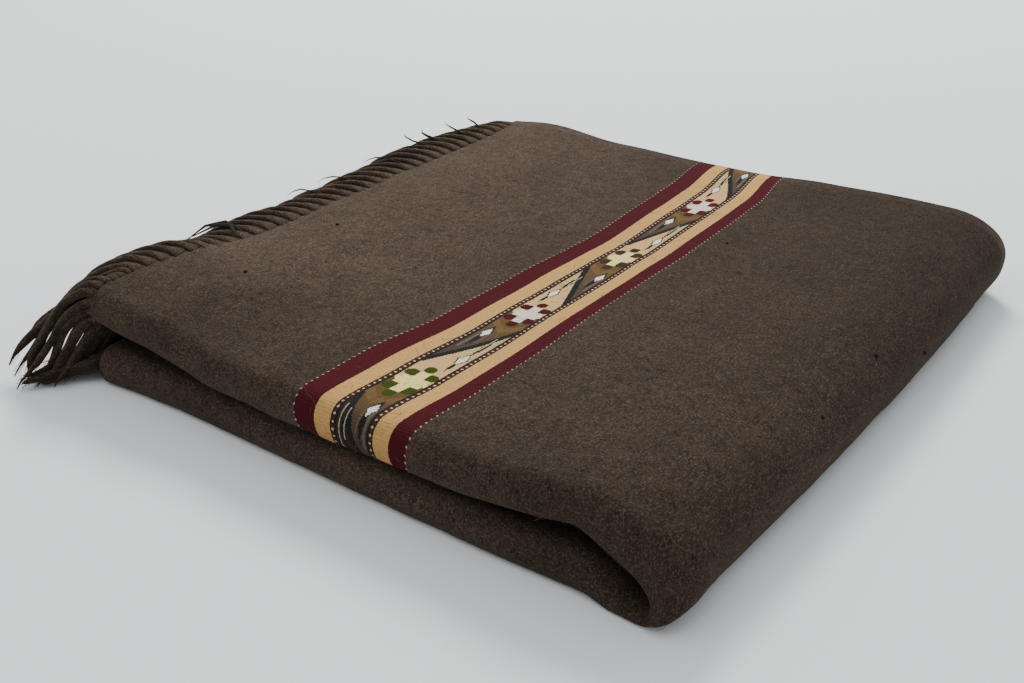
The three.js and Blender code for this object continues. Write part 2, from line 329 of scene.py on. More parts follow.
def widthStations():
    half = cloth["width"] / 2
    halfArc = math.pi * frontFold / 2
    backShares = [(i / grid["back"]) ** grid["spread"] for i in range(grid["back"] + 1)]
    back = [blend(halfArc, half, share) for share in backShares]
    front = [halfArc * (2 * i / grid["front"] - 1) for i in range(1, grid["front"])]
    return [-t for t in reversed(back)] + front + back


bandPath = rows(   # the border's middle and its two outer lines, as it wanders across the cloth
    "y middle fringeSide foldSide",
    (-362, 176.0, 30.8, 27.1),
    (-12, 176.0, 31.5, 27.6),
    (18, 173.6, 32.3, 30.2),
    (46, 176.4, 35.5, 29.0),
    (96, 178.6, 32.3, 27.8),
    (153, 178.8, 31.7, 27.0),
    (195, 179.4, 30.0, 26.9),
    (218, 180.4, 29.6, 26.7),
    (276, 179.2, 31.0, 27.1),
    (308, 178.0, 31.5, 27.0),
    (362, 171.0, 30.5, 26.3),
)
crossPlaces = rows(    # where the border's crosses fall, counted in repeats
    "y repeat",
    (-362, -4.93),
    (39.4, 0.0),
    (119.4, 1.0),
    (201.0, 2.0),
    (288.0, 3.0),
    (362, 3.79),
)
border = {         # widths across, from the middle of the pattern
    "repeat": 81.5, "field": 7.9, "chain": 11.1, "tanFringe": 19.6, "tanFold": 18.9,
    "fringeLine": 30.8, "foldLine": 27.1,
}


def makeCloth():
    stations, shares = lengthStations(), widthStations()
    runs = runsAlong([Vector(bendLength(*station)) for station in stations])
    lastRun, lastShare = len(stations) - 1, len(shares) - 1
    bpy.ops.object.select_all(action="DESELECT")
    bpy.ops.mesh.primitive_grid_add(
        x_subdivisions=lastRun, y_subdivisions=lastShare, size=2, calc_uvs=True)
    piece = bpy.context.object
    piece.name = "wool_cloth"
    mesh = piece.data
    spots = []
    for vertex in mesh.vertices:
        i = round((vertex.co.x + 1) / 2 * lastRun)
        j = round((vertex.co.y + 1) / 2 * lastShare)
        spots.append((i, j))
        place, depth = stations[i]
        vertex.co = placed(*rippled(clothPoint(place, shares[j], depth)))
    flat = mesh.uv_layers.active
    flat.name = "cloth"
    band = mesh.uv_layers.new(name="band")
    for loop in mesh.loops:
        i, j = spots[loop.vertex_index]
        run, along = runs[i], shares[j]
        flat.data[loop.index].uv = (run / 1000, along / 1000)
        offset = run - easedValue(bandPath, along, "middle", "y")
        if offset < 0:
            offset *= border["fringeLine"] / easedValue(bandPath, along, "fringeSide", "y")
        else:
            offset *= border["foldLine"] / easedValue(bandPath, along, "foldSide", "y")
        repeat = straightValue(crossPlaces, along, "repeat") * border["repeat"]
        band.data[loop.index].uv = (offset / 1000, repeat / 1000)
    thick = piece.modifiers.new("wool_thickness", "SOLIDIFY")
    thick.thickness = cloth["thick"] / 1000
    thick.offset = 0
    thick.use_even_offset = True
    bpy.ops.object.modifier_apply(modifier=thick.name)
    for vertex in mesh.vertices:
        vertex.co.z = max(vertex.co.z, 0.0)     # nothing sinks below the table
    bpy.ops.object.shade_smooth()
    return piece, runs[-1]


woolCloth, clothLength = makeCloth()
print("stage: cloth folded,", round(clothLength), "mm long")


# node helpers
class Finish:
    def __init__(self, name):
        self.material = bpy.data.materials.new(name)
        self.material.use_nodes = True
        self.tree = self.material.node_tree
        self.shader = self.tree.nodes["Principled BSDF"]

    def node(self, kind, **values):
        made = self.tree.nodes.new(kind)
        for key, value in values.items():
            setattr(made, key, value)
        return made

    def feed(self, socket, value):
        if isinstance(value, bpy.types.NodeSocket):
            self.tree.links.new(value, socket)
        else:
            socket.default_value = value

    def math(self, operation, a, b=None, c=None):
        made = self.node("ShaderNodeMath", operation=operation)
        for socket, value in zip(made.inputs, (a, b, c)):
            if value is not None:
                self.feed(socket, value)
        return made.outputs[0]

    def mix(self, factor, a, b):
        made = self.node("ShaderNodeMix", data_type="RGBA")
        self.feed(made.inputs["Factor"], factor)
        self.feed(made.inputs["A"], a)
        self.feed(made.inputs["B"], b)
        return made.outputs["Result"]

    def noise(self, coordinates, scale, detail=2.0, roughness=0.5, stretch=None, turn=(0, 0, 0)):
        if stretch is not None:
            mapping = self.node("ShaderNodeMapping")
            mapping.inputs["Scale"].default_value = stretch
            mapping.inputs["Rotation"].default_value = turn
            self.feed(mapping.inputs["Vector"], coordinates)
            coordinates = mapping.outputs["Vector"]
        made = self.node("ShaderNodeTexNoise")
        self.feed(made.inputs["Vector"], coordinates)
        made.inputs["Scale"].default_value = scale
        made.inputs["Detail"].default_value = detail
        made.inputs["Roughness"].default_value = roughness
        return made.outputs["Fac"]

    def span(self, value, low, high, toLow=0.0, toHigh=1.0):
        made = self.node("ShaderNodeMapRange", clamp=True)
        self.feed(made.inputs["Value"], value)
        for name, number in (
                ("From Min", low), ("From Max", high), ("To Min", toLow), ("To Max", toHigh)):
            made.inputs[name].default_value = number
        return made.outputs["Result"]

    def both(self, a, b):
        return self.math("MULTIPLY", a, b)

    def line(self, value, slope, start):
        return self.math("MULTIPLY_ADD", value, slope, start)

    def more(self, a, b):
        return self.math("GREATER_THAN", a, b)

    def less(self, a, b):
        return self.math("LESS_THAN", a, b)

    def within(self, value, low, high):
        return self.both(self.more(value, low), self.less(value, high))

    def away(self, a, b=None):
        return self.math("ABSOLUTE", a if b is None else self.math("SUBTRACT", a, b))

    def axes(self, vector):
        made = self.node("ShaderNodeSeparateXYZ")
        self.feed(made.inputs[0], vector)
        return made.outputs["X"], made.outputs["Y"]

    def brighter(self, colour, value):
        made = self.node("ShaderNodeHueSaturation")
        self.feed(made.inputs["Color"], colour)
        self.feed(made.inputs["Value"], value)
        return made.outputs["Color"]

    def dress(self, colour, height, strength, distance, sheen):
        # the last step of each woollen finish
        bump = self.node("ShaderNodeBump")
        bump.inputs["Strength"].default_value = strength
        bump.inputs["Distance"].default_value = distance
        self.feed(bump.inputs["Height"], height)
        for name, value in (
                ("Base Color", colour), ("Normal", bump.outputs["Normal"]),
                ("Roughness", wool["roughness"]), ("Specular IOR Level", wool["shine"]),
                ("Sheen Weight", sheen), ("Sheen Roughness", wool["sheenRoughness"]),
                ("Sheen Tint", wool["sheenTint"])):
            self.feed(self.shader.inputs[name], value)
        return self.material


wool = {
    "deep": (0.018, 0.0140, 0.0120, 1), "ground": (0.048, 0.033, 0.023, 1),
    "pale": (0.120, 0.083, 0.057, 1), "rust": (0.070, 0.031, 0.017, 1),
    "fibre": (0.25, 0.19, 0.135, 1),
    "roughness": 0.95, "shine": 0.06, "plainShine": 0.05,
    "sheen": 0.05, "bandSheen": 0.01, "cordSheen": 0.08, "sheenRoughness": 0.45,
    "sheenTint": (0.78, 0.62, 0.47, 1),
}
grain = {          # the wool's noises: scale, detail and roughness, and where their tones show
    "coarse": {"noise": (34, 2), "shows": (0.3, 0.7, 0.9, 1.1)},
    "ground": {"noise": (200, 6, 0.78), "shows": (0.36, 0.62)},
    "pale": {"noise": (1050, 3, 0.7), "shows": (0.48, 0.74)},
    "rust": {"noise": (340, 3, 0.6), "shows": (0.56, 0.74, 0, 0.5)},
}
fibres = {         # single fibres that cross each other
    "stretch": (2600, 260, 900), "turns": ((0.3, 0.2, 0.6), (0.1, 0.4, 2.2), (0.5, 0.1, 1.4)),
    "shows": (0.66, 0.74, 0, 0.4),
}
paintedShades = {         # painted shade and painted light over the pile: from and to in metres, and how bright it is there
    "slant": 0.7, "fold": (0.03, 0.24, 1.0, 0.64), "fringeEndLight": (-0.13, 0.02, 1.38, 1.0),
    "cornerX": (-0.06, 0.04, 1, 0), "cornerY": (-0.15, -0.07, 1, 0), "corner": -0.38,
    "foldEndX": (0.02, 0.13, 0, 1), "foldEndY": (-0.17, -0.09, 1, 0), "foldEndShade": -0.3,
}
weave = {          # the border's threads: how its edges fray, its steps, ribs and their shade, and painted shade on the front fold
    "fray": 0.7, "frays": ((900, 2), (760, 2, 0.5, (1, 1, 1), (1, 0, 0))), "step": 0.55,
    "rib": 0.65, "ribShade": (0.90, 1.05), "ribHeight": (0, 0.35),
    "threads": (0.3, 0.7, 0.78, 1.2), "frontFoldShade": (-44, -16, 0.68, 1.0),
    "veil": (0.60, 0.75, 0, 0.35), "stitch": (0.3, 0.5, 0.5, 1.0),
    "bump": 0.55, "bumpDeep": 0.0007, "heather": 0.7, "fine": 0.5,
}
tones = {
    "maroon": (0.062, 0.0075, 0.011, 1), "tan": (0.53, 0.305, 0.108, 1),
    "cream": (0.80, 0.66, 0.24, 1), "white": (0.74, 0.73, 0.66, 1),
    "black": (0.018, 0.017, 0.017, 1), "olive": (0.112, 0.066, 0.026, 1),
    "mauve": (0.072, 0.050, 0.037, 1), "paleTan": (0.59, 0.37, 0.17, 1),
    "green": (0.040, 0.055, 0.006, 1), "brown": (0.040, 0.027, 0.015, 1),
    "bead": (0.46, 0.36, 0.26, 1), "dusk": (0.022, 0.014, 0.013, 1),
    "rustBead": (0.075, 0.022, 0.018, 1), "yellowTan": (0.50, 0.36, 0.145, 1),
    "khaki": (0.140, 0.085, 0.033, 1), "grey": (0.13, 0.10, 0.085, 1),
    "pale": (0.36, 0.325, 0.28, 1), "stitch": (0.33, 0.275, 0.21, 1),
    "milk": (0.68, 0.58, 0.49, 1),
}
crossForm = [      # bars that make up a stepped cross
    {"across": 2.3, "along": 9.6}, {"across": 6.2, "along": 3.5}, {"across": 7.4, "along": 1.6},
]
crossDots = [      # the dots round it
    {"across": 4.9, "along": 6.8, "radius": 2.9}, {"across": 0.0, "along": 12.4, "radius": 2.7},
]
dotCorner = 1.45   # how far a dot's corners are cut, as a share of its radius
beads = {"middle": 9.7, "pitch": 3.0}
beadForms = [
    {"tone": "rustBead", "wide": 0.75, "long": 0.60, "shift": 1.5},
    {"tone": "bead", "wide": 0.60, "long": 0.56, "shift": 0},
]
stitches = {"lean": 0.6, "pitch": 3.2, "wide": 0.42, "long": 0.46}     # the outer dotted lines
chart = rows(      # one half of the repeat, from one cross to the next
    "form tone across along wide long",
    ("lozenge", "black", 4.4, 19.8, 1.1, 5.0),
    ("lozenge", "black", 4.1, 27.6, 2.7, 7.0),
    ("lozenge", "white", 4.1, 27.8, 2.0, 5.4),
    ("lozenge", "black", 4.3, 42.0, 1.2, 11.0),
    ("bar", "pale", 6.6, 42.5, 0.36, 12.0),
    ("bar", "pale", 3.6, 46.0, 0.26, 6.5),
    ("bar", "grey", -6.4, 47.0, 0.55, 10.0),
    ("lozenge", "black", -4.3, 48.5, 1.4, 9.0),
    ("bar", "grey", -2.3, 50.0, 0.45, 6.0),
    ("lozenge", "black", -4.3, 55.8, 2.5, 7.6),
    ("lozenge", "white", -4.3, 55.4, 2.0, 4.8),
)
triangles = {      # the dark line between the two triangles, and their tones
    "from": 20.0, "to": 62.0, "wide": 1.55, "past": 3, "olive": (40, 62), "yellow": (24, 44),
    "chevron": (58, 63), "chevronSlant": -0.9, "brownEnd": (-62, -20),
}


def woolGround(f, place):
    noises = {name: f.noise(place, *row["noise"]) for name, row in grain.items()}
    colour = wool["deep"]
    for name in ("ground", "pale", "rust"):
        colour = f.mix(f.span(noises[name], *grain[name]["shows"]), colour, wool[name])
    for turnBy in fibres["turns"]:
        strands = f.noise(place, 1, 2, 0.5, fibres["stretch"], turnBy)
        colour = f.mix(f.span(strands, *fibres["shows"]), colour, wool["fibre"])
    colour = f.brighter(colour, f.span(noises["coarse"], *grain["coarse"]["shows"]))
    return colour, noises["ground"], noises["pale"]


def roundDots(f, across, along, wide, long):
    alongShare = f.math("DIVIDE", f.both(along, along), long ** 2)
    return f.less(f.line(f.both(across, across), 1 / wide ** 2, alongShare), 1)


def clothFinish():
    f = Finish("heathered_wool")
    place = f.node("ShaderNodeTexCoord").outputs["Object"]
    colour, heather, fine = woolGround(f, place)
    # painted shade makes the wool browner and darker towards the big fold and at both ends of the
    # front, and painted light makes it paler towards the fringe
    x, y = f.axes(place)
    # painted shade at the front corner by the fringe and at the front end of the big fold
    corner = f.both(f.span(x, *paintedShades["cornerX"]), f.span(y, *paintedShades["cornerY"]))
    foldEndShade = f.both(f.span(x, *paintedShades["foldEndX"]), f.span(y, *paintedShades["foldEndY"]))
    shade = f.span(f.line(y, paintedShades["slant"], x), *paintedShades["fold"])
    shade = f.both(shade, f.line(corner, paintedShades["corner"], 1))
    shade = f.both(shade, f.span(x, *paintedShades["fringeEndLight"]))
    shade = f.both(shade, f.line(foldEndShade, paintedShades["foldEndShade"], 1))
    colour = f.brighter(colour, shade)
    band = f.axes(f.node("ShaderNodeUVMap", uv_map="band").outputs["UV"])
    fray = weave["fray"]
    frays = [f.line(f.noise(place, *row), fray, -fray / 2) for row in weave["frays"]]
    across, along = (f.line(way, 1000, frayed) for way, frayed in zip(band, frays))
    stepAcross, stepAlong = (f.math("SNAP", way, weave["step"]) for way in (across, along))
    repeat = border["repeat"]

    # ground of the pattern: two triangles to a repeat, turned over in every second one
    cell = f.math("FLOOR", f.math("DIVIDE", along, repeat))
    a = f.both(stepAcross, f.line(f.math("PINGPONG", cell, 1), -2, 1))
    b = f.line(cell, -repeat, stepAlong)
    rise = 2 * border["field"] / (triangles["to"] - triangles["from"])
    offLine = f.math("SUBTRACT", a, f.line(b, rise, -border["field"] - rise * triangles["from"]))
    brownSide = f.mix(f.span(b, *triangles["olive"]), tones["mauve"], tones["olive"])
    chevron = f.line(f.away(a), triangles["chevronSlant"], b)
    brownSide = f.mix(f.within(chevron, *triangles["chevron"]), brownSide, tones["khaki"])
    paleSide = f.mix(f.span(b, *triangles["yellow"]), tones["paleTan"], tones["yellowTan"])
    paleSide = f.mix(f.within(along, *triangles["brownEnd"]), paleSide, tones["brown"])
    field = f.mix(f.less(offLine, 0), paleSide, brownSide)
    onLine = f.both(
        f.less(f.away(offLine), triangles["wide"]),
        f.within(b, triangles["from"] - triangles["past"], triangles["to"] + triangles["past"]))
    field = f.mix(onLine, field, tones["black"])
    for row in chart:
        da, db = f.away(a, row["across"]), f.away(b, row["along"])
        if row["form"] == "bar":
            mask = f.both(f.less(da, row["wide"]), f.less(db, row["long"]))
        else:
            mask = f.less(f.line(da, 1 / row["wide"], f.math("DIVIDE", db, row["long"])), 1)
        field = f.mix(mask, field, tones[row["tone"]])

    # crosses: every second one white, the others cream, with their dots in turn
    crossIndex = f.math("ROUND", f.math("DIVIDE", along, repeat))
    fromCross = f.away(f.line(crossIndex, -repeat, stepAlong))
    fromMiddle = f.away(stepAcross)
    oddCross = f.math("PINGPONG", crossIndex, 1)
    turnOfFour = f.math("FLOORED_MODULO", crossIndex, 4)
    dotTone = f.mix(f.more(turnOfFour, 1.5), tones["green"], tones["brown"])
    dotTone = f.mix(oddCross, dotTone, tones["maroon"])
    for row in crossDots:
        da, db = f.away(fromMiddle, row["across"]), f.away(fromCross, row["along"])
        blocky = f.less(f.math("MAXIMUM", da, db), row["radius"])
        cutCorners = f.less(f.math("ADD", da, db), row["radius"] * dotCorner)
        field = f.mix(f.both(blocky, cutCorners), field, dotTone)
    cross = 0
    for row in crossForm:
        bar = f.both(f.less(fromMiddle, row["across"]), f.less(fromCross, row["along"]))
        cross = f.math("MAXIMUM", cross, bar)
    field = f.mix(cross, field, f.mix(oddCross, tones["cream"], tones["milk"]))

    # the two lines of beads, the plain stripes and the outer dotted lines
    size = f.away(across)
    fromBeads = f.away(size, beads["middle"])
    chain = tones["dusk"]
    for row in beadForms:
        step = f.math("PINGPONG", f.math("ADD", along, row["shift"]), beads["pitch"] / 2)
        onBead = roundDots(f, fromBeads, step, row["wide"], row["long"])
        chain = f.mix(onBead, chain, tones[row["tone"]])
    onFold = f.more(across, 0)
    tanEdge = f.line(onFold, border["tanFold"] - border["tanFringe"], border["tanFringe"])
    outerLine = f.line(onFold, border["foldLine"] - border["fringeLine"], border["fringeLine"])
    pattern = f.mix(f.more(size, border["field"]), field, chain)
    pattern = f.mix(f.more(size, border["chain"]), pattern, tones["tan"])
    pattern = f.mix(f.more(size, tanEdge), pattern, tones["maroon"])
    fromOuter = f.math("SUBTRACT", size, outerLine)
    step = f.math("PINGPONG", f.line(fromOuter, stitches["lean"], along), stitches["pitch"] / 2)
    dots = roundDots(f, fromOuter, step, stitches["wide"], stitches["long"])
    inBand = f.less(size, outerLine)

    # threads of the border: ribs across it, its own fibres, wool that veils it, and painted shade
    # where it turns down over the front fold
    rib = f.math("PINGPONG", along, weave["rib"])
    shade = f.span(rib, 0.0, weave["rib"], *weave["ribShade"])
    shade = f.both(shade, f.span(fine, *weave["threads"]))
    # painted shade: the border is drawn darker where it turns down over the front fold
    shade = f.both(shade, f.span(along, *weave["frontFoldShade"]))
    pattern = f.mix(f.span(heather, *weave["veil"]), f.brighter(pattern, shade), wool["ground"])
    colour = f.mix(inBand, colour, pattern)
    colour = f.mix(f.both(dots, f.span(fine, *weave["stitch"])), colour, tones["stitch"])
    ribHeight = f.both(inBand, f.span(rib, 0.0, weave["rib"], *weave["ribHeight"]))
    height = f.line(heather, weave["heather"], f.line(fine, weave["fine"], ribHeight))
    sheen = f.span(inBand, 0, 1, wool["sheen"], wool["bandSheen"])
    return f.dress(colour, height, weave["bump"], weave["bumpDeep"], sheen)


woolCloth.data.materials.clear()
woolCloth.data.materials.append(clothFinish())
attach(woolCloth, "root")
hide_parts("shawl_cloth")
print("stage: cloth dressed")


# fringes: each strand leaves the cloth as a soft flat root, arches over and falls to the left
fringe = {
    "pitch": 9.1, "phase": 0.25, "gap": 0.35, "inset": 5.0, "proud": 0.75, "floorLevel": 0.15,
    "thick": 4.3, "fuller": 1.2, "spread": 0.12, "narrows": 0.84, "tip": 0.5, "pointFrom": 0.76,
    "sides": 8, "steps": 20, "twist": 24.0, "twistFrom": 3, "lobe": 0.07,
    "rootWide": 9.3, "cornerWide": 6.0, "rootThick": 2.1, "rootRun": 12.0,
    "rootCloses": (-0.02, 0.05), "reachSpread": 0.06, "sideSpread": 2,
    "yarnThick": 2.9, "yarnWide": 5.0, "yarnDrop": 1.1, "yarnShare": 0.86,   # thinner, in between
}
topArcs = rows(    # each strand's reach out and sideways, its tip's height, and how it arches
    "along out side tip lift arch",
    (-362, 40, -12, 4.0, -2.0, 0.0),
    (-90, 24, -14, 3.0, -3.0, -0.3),
    (-60, 15, -14, 3.0, -4.0, -0.8),
    (-30, 13, -18, 3.0, -4.0, -0.8),
    (-12, 13, -20, 2.6, -1.7, -0.4),
    (-2, 20, -22, 2.4, 1.6, 0.1),
    (2.3, 24, -25, 2.4, 0.2, -0.1),
    (6.8, 28, -28, 2.4, 2.4, 0.1),
    (11.4, 33, -33, 2.4, 1.4, 0.0),
    (15.9, 37, -35, 3.0, 2.4, 0.0),
    (20.5, 41, -37, 6.0, -2.2, -0.6),
    (25, 43, -32, 14.0, -3.0, -0.7),
    (29.5, 41, -36, 16.0, 0.0, -0.4),
    (34, 37, -40, 15.0, 2.0, 0.2),
    (45, 37, -43, 10.0, 5.0, 0.8),
    (60, 36, -43, 9.0, 5.5, 1.0),
    (75, 34, -42, 9.0, 5.0, 1.0),
    (100, 34, -41, 9.0, 5.0, 1.0),
    (130, 40, -38, 9.0, 6.0, 1.1),
    (175, 37, -38, 9.0, 3.0, 1.1),
    (235, 39, -37, 9.0, 4.0, 1.1),
    (265, 42, -36, 9.0, 8.0, 1.1),
    (300, 43, -36, 9.0, 9.0, 1.1),
    (362, 24, -32, 8.0, 2.0, 1.0),
)
lowArcs = rows(
    "along out side tip lift arch early",
    (-362, 44, -10, 2.4, 0.0, 0.0, 0.0),
    (-20, 34, -30, 2.4, 0.0, 0.0, 0.4),
    (0, 26, -33, 2.4, 0.0, 0.0, 0.6),
    (14, 30, -33, 2.4, 0.0, 0.0, 0.5),
    (40, 42, -24, 2.4, 0.0, 0.0, 0.2),
    (362, 46, -14, 2.4, 0.0, 0.0, 0.0),
)
gathered = {       # at the front corner twice as many strands show, and they lie looser
    "from": -45, "to": 32, "middle": 6, "loose": 24, "calm": 60,
}
bends = {          # a strand's two handles, as shares of its reach, its side and its drop
    "near": {
        "out": 0.45, "outArch": 0.3, "outEarly": -0.3,
        "side": 0.08, "sideArch": 0.06, "sideEarly": 0.6,
    },
    "far": {
        "out": 0.92, "outArch": 0.23, "outEarly": -0.3,
        "side": 0.55, "sideArch": -0.10, "sideEarly": 0.35,
        "drop": 0.38, "dropArch": -0.18, "dropEarly": 0.0,
    },
}
sway = {           # how a strand strays from its arc; pairs are for the back and the front corner
    "waves": 9, "wavesSpread": 3, "wave": (0.9, 2.0), "bobs": 7, "bob": 0.7, "phase": 3,
    "hook": (1.5, 5.0), "hookFrom": 0.74, "hookOut": 2.5,
    "lowest": 2.3, "lowestTip": 1.1, "tipFrom": 0.7,
}
wisp = {           # loose yarns that part from a strand towards its tip
    "few": 2, "many": 3, "thick": 0.75, "tip": 0.2, "lowest": 0.7,
    "away": 1.2, "further": 2.4, "drift": (-1.5, -0.75, 0), "rise": 0.4,
}
thirds = (0, 2.094, 4.189)      # the corners of a three-sided hair, in radians


def uneven(n, salt):     # a stray value from -1 to 1, the same for a strand at every run
    value = math.sin(n * 12.9898 + salt * 78.233) * 43758.5453
    return 2 * (value - math.floor(value)) - 1


def strandHandles(root, arcs, along, n, salt, share=1.0):
    here = {name: straightValue(arcs, along, name, "along") for name in arcs[0]}
    reach = share * (1 + fringe["reachSpread"] * uneven(n, salt))
    out = here["out"] * reach
    side = here["side"] * reach + fringe["sideSpread"] * uneven(n, salt + 1)
    drop = (root.z - here["tip"]) * share
    arch, early = here["arch"], here.get("early", 0)

    def bent(handle, name):
        row = bends[handle]
        return row[name] + row[name + "Arch"] * arch + row[name + "Early"] * early

    near = Vector((-bent("near", "out") * out, bent("near", "side") * side, here["lift"]))
    far = Vector((
        -bent("far", "out") * out, bent("far", "side") * side, -bent("far", "drop") * drop))
    return root, root + near, root + far, root + Vector((-out, side, -drop))


def alongHandles(handles, k):
    m = 1 - k
    a, b, c, d = handles
    return a * m ** 3 + b * 3 * m * m * k + c * 3 * m * k * k + d * k ** 3


class Strands:
    # gathers tubes into one mesh, each with its own rings, ends and cord coordinates
    def __init__(self):
        self.points, self.faces, self.uvs = [], [], []

    def tube(self, centres, sides, lengths, shape):
        rings = []
        for i, at in enumerate(centres):
            ahead = centres[min(i + 1, len(centres) - 1)] - centres[max(i - 1, 0)]
            ahead.normalize()
            ring = []
            for offset in shape(i, at, ahead):
                spot = at + offset
                spot.z = max(spot.z, fringe["floorLevel"])
                ring.append(len(self.points))
                self.points.append(placed(*spot))
            rings.append((ring, lengths[i] / 1000))
        for (low, lowRun), (high, highRun) in zip(rings, rings[1:]):
            for s in range(sides):
                t = (s + 1) % sides
                self.faces.append((low[s], low[t], high[t], high[s]))
                u0, u1 = s / sides, (s + 1) / sides
                self.uvs.append(((u0, lowRun), (u1, lowRun), (u1, highRun), (u0, highRun)))
        for ring, runAt in (rings[0], rings[-1]):
            self.faces.append(tuple(ring))
            self.uvs.append(tuple((s / sides, runAt) for s in range(sides)))

    def piece(self, name):
        mesh = bpy.data.meshes.new(name)
        mesh.from_pydata(self.points, [], self.faces)
        cord = mesh.uv_layers.new(name="cord")
        for polygon, corners in zip(mesh.polygons, self.uvs):
            for loop, uv in zip(polygon.loop_indices, corners):
                cord.data[loop].uv = uv
        made = bpy.data.objects.new(name, mesh)
        bpy.context.collection.objects.link(made)
        bpy.ops.object.select_all(action="DESELECT")
        made.select_set(True)
        bpy.context.view_layer.objects.active = made
        bpy.ops.object.mode_set(mode="EDIT")
        bpy.ops.mesh.select_all(action="SELECT")
        bpy.ops.mesh.normals_make_consistent(inside=False)
        bpy.ops.object.mode_set(mode="OBJECT")
        bpy.ops.object.shade_smooth()
        return made


def roundRing(side, up, half, corners):
    return [(side * math.cos(a) + up * math.sin(a)) * half for a in corners]


def levelSide(ahead):
    return Vector((ahead.y, -ahead.x, 0.01)).normalized()


def strand(strands, beside, handles, n, salt, thick, rootWide, front):
    steps, sides = fringe["steps"], fringe["sides"]
    wander = [uneven(n, salt + 5 + i) for i in range(6)]
    phase = [w * sway["phase"] for w in wander]
    centres = []
    for i in range(steps + 1):
        k = i / steps
        at = alongHandles(handles, k)
        loose = smooth(0, 1, k)
        waves = sway["waves"] + sway["wavesSpread"] * wander[0]
        wave = math.sin(k * waves + phase[1]) - math.sin(phase[1])
        hook = smooth(sway["hookFrom"], 1.0, k) ** 2
        hooked = hook * blend(*sway["hook"], front) * wander[5]
        at.y += wave * loose * blend(*sway["wave"], front) + hooked
        at.x -= hook * sway["hookOut"] * front * abs(wander[4])
        at.z += math.sin(k * sway["bobs"] + phase[2]) * sway["bob"] * loose * front
        at.z = max(at.z, blend(sway["lowest"], sway["lowestTip"], smooth(sway["tipFrom"], 1, k)))
        centres.append(at)
    lengths = runsAlong(centres)

    def shape(i, at, ahead):
        k = i / steps
        rooted = 1 - smooth(0, fringe["rootRun"] / lengths[-1], k)
        side = beside * rooted + Vector((ahead.y, -ahead.x, 0)).normalized() * (1 - rooted)
        side = (side - ahead * side.dot(ahead)).normalized()
        up = ahead.cross(side)
        half = thick / 2 * (1 + fringe["spread"] * wander[3])
        half *= blend(1, fringe["narrows"], k) * blend(1, fringe["fuller"], front)
        half = blend(half, fringe["tip"] / 2, smooth(fringe["pointFrom"], 1.0, k))
        spin = max(lengths[i] - fringe["twistFrom"], 0) / fringe["twist"] * math.pi + phase[4]
        closing = smooth(*fringe["rootCloses"], k)
        for s in range(sides):
            angle = 2 * math.pi * s / sides
            lobed = half * (1 + fringe["lobe"] * math.cos(2 * (angle - spin)) * (1 - rooted))
            wide = blend(lobed, rootWide / 2, rooted)
            high = blend(lobed, fringe["rootThick"] / 2, rooted) * closing
            yield side * math.cos(angle) * wide + up * math.sin(angle) * high

    strands.tube(centres, sides, lengths, shape)
    return centres, lengths


def wisps(strands, centres, lengths, n, salt, front):
    first = len(centres) // 2
    for w in range(wisp["many"] if front > 0.5 else wisp["few"]):
        out, side, up = (uneven(n, salt + own + w) for own in (21, 31, 41))
        lean = Vector((out, side, wisp["rise"] * up))
        path, runs = [], []
        for i in range(first, len(centres), 2):
            k = (i - first) / (len(centres) - 1 - first)
            at = centres[i] + lean * (wisp["away"] + wisp["further"] * k * k)
            at += Vector(wisp["drift"]) * k ** 3
            at.z = max(at.z, wisp["lowest"])
            path.append(at)
            runs.append(lengths[i])

        def shape(i, at, ahead):
            half = blend(wisp["thick"], wisp["tip"], i / (len(path) - 1)) / 2
            side = levelSide(ahead)
            return roundRing(side, ahead.cross(side), half, thirds)

        strands.tube(path, 3, runs, shape)


def makeFringe(name, run, endX, layer, arcs, salt, yarns):
    depth = (layer + 0.5) * cloth["pitch"]
    count = int((cloth["width"] - fringe["pitch"]) // fringe["pitch"])
    first = -(count - 1) / 2 + fringe["phase"]
    onTop = 1 if layer == 0 else 0
    strands = Strands()
    for half in range(2 * count - 1):
        n = half / 2
        along = (first + n) * fringe["pitch"]
        between = half % 2 == 1
        if between and not yarns[0] < along < yarns[1]:
            continue
        root = clothPoint((run, endX), along, depth)
        before, after = (clothPoint((run, endX), along + step, depth) for step in (-0.5, 0.5))
        beside = (after - before).normalized()
        root.x += fringe["inset"] * onTop - fringe["gap"]
        root.z += fringe["proud"] * onTop
        front = 1 - smooth(gathered["loose"], gathered["calm"], abs(along - gathered["middle"]))
        inCorner = gathered["from"] < along < gathered["to"]
        if between and not inCorner:
            thick, wide = fringe["yarnThick"], fringe["yarnWide"]
            root.z -= fringe["yarnDrop"]
            handles = strandHandles(root, arcs, along, n, salt, fringe["yarnShare"])
            strand(strands, beside, handles, n, salt, thick, wide, front)
            continue
        handles = strandHandles(root, arcs, along, n, salt)
        wide = fringe["cornerWide"] if inCorner else fringe["rootWide"]
        centres, lengths = strand(strands, beside, handles, n, salt, fringe["thick"], wide, front)
        wisps(strands, centres, lengths, n, salt, front)
    return strands.piece(name)


cordLook = {       # painted shade in a cord's grooves, on its yarns and sides, and from front to back: painted darker at the front, lighter at the back
    "groove": (0.0, 0.25, 0.72, 1.0), "yarn": (0.0, 0.3, 0.84, 1.05), "yarns": 4,
    "flankShade": (0.03, 0.18, 0.62, 1.0), "back": (-0.19, -0.07, 0.85, 1.25),
    "bump": 0.8, "bumpDeep": 0.0009, "fine": 0.4,
}


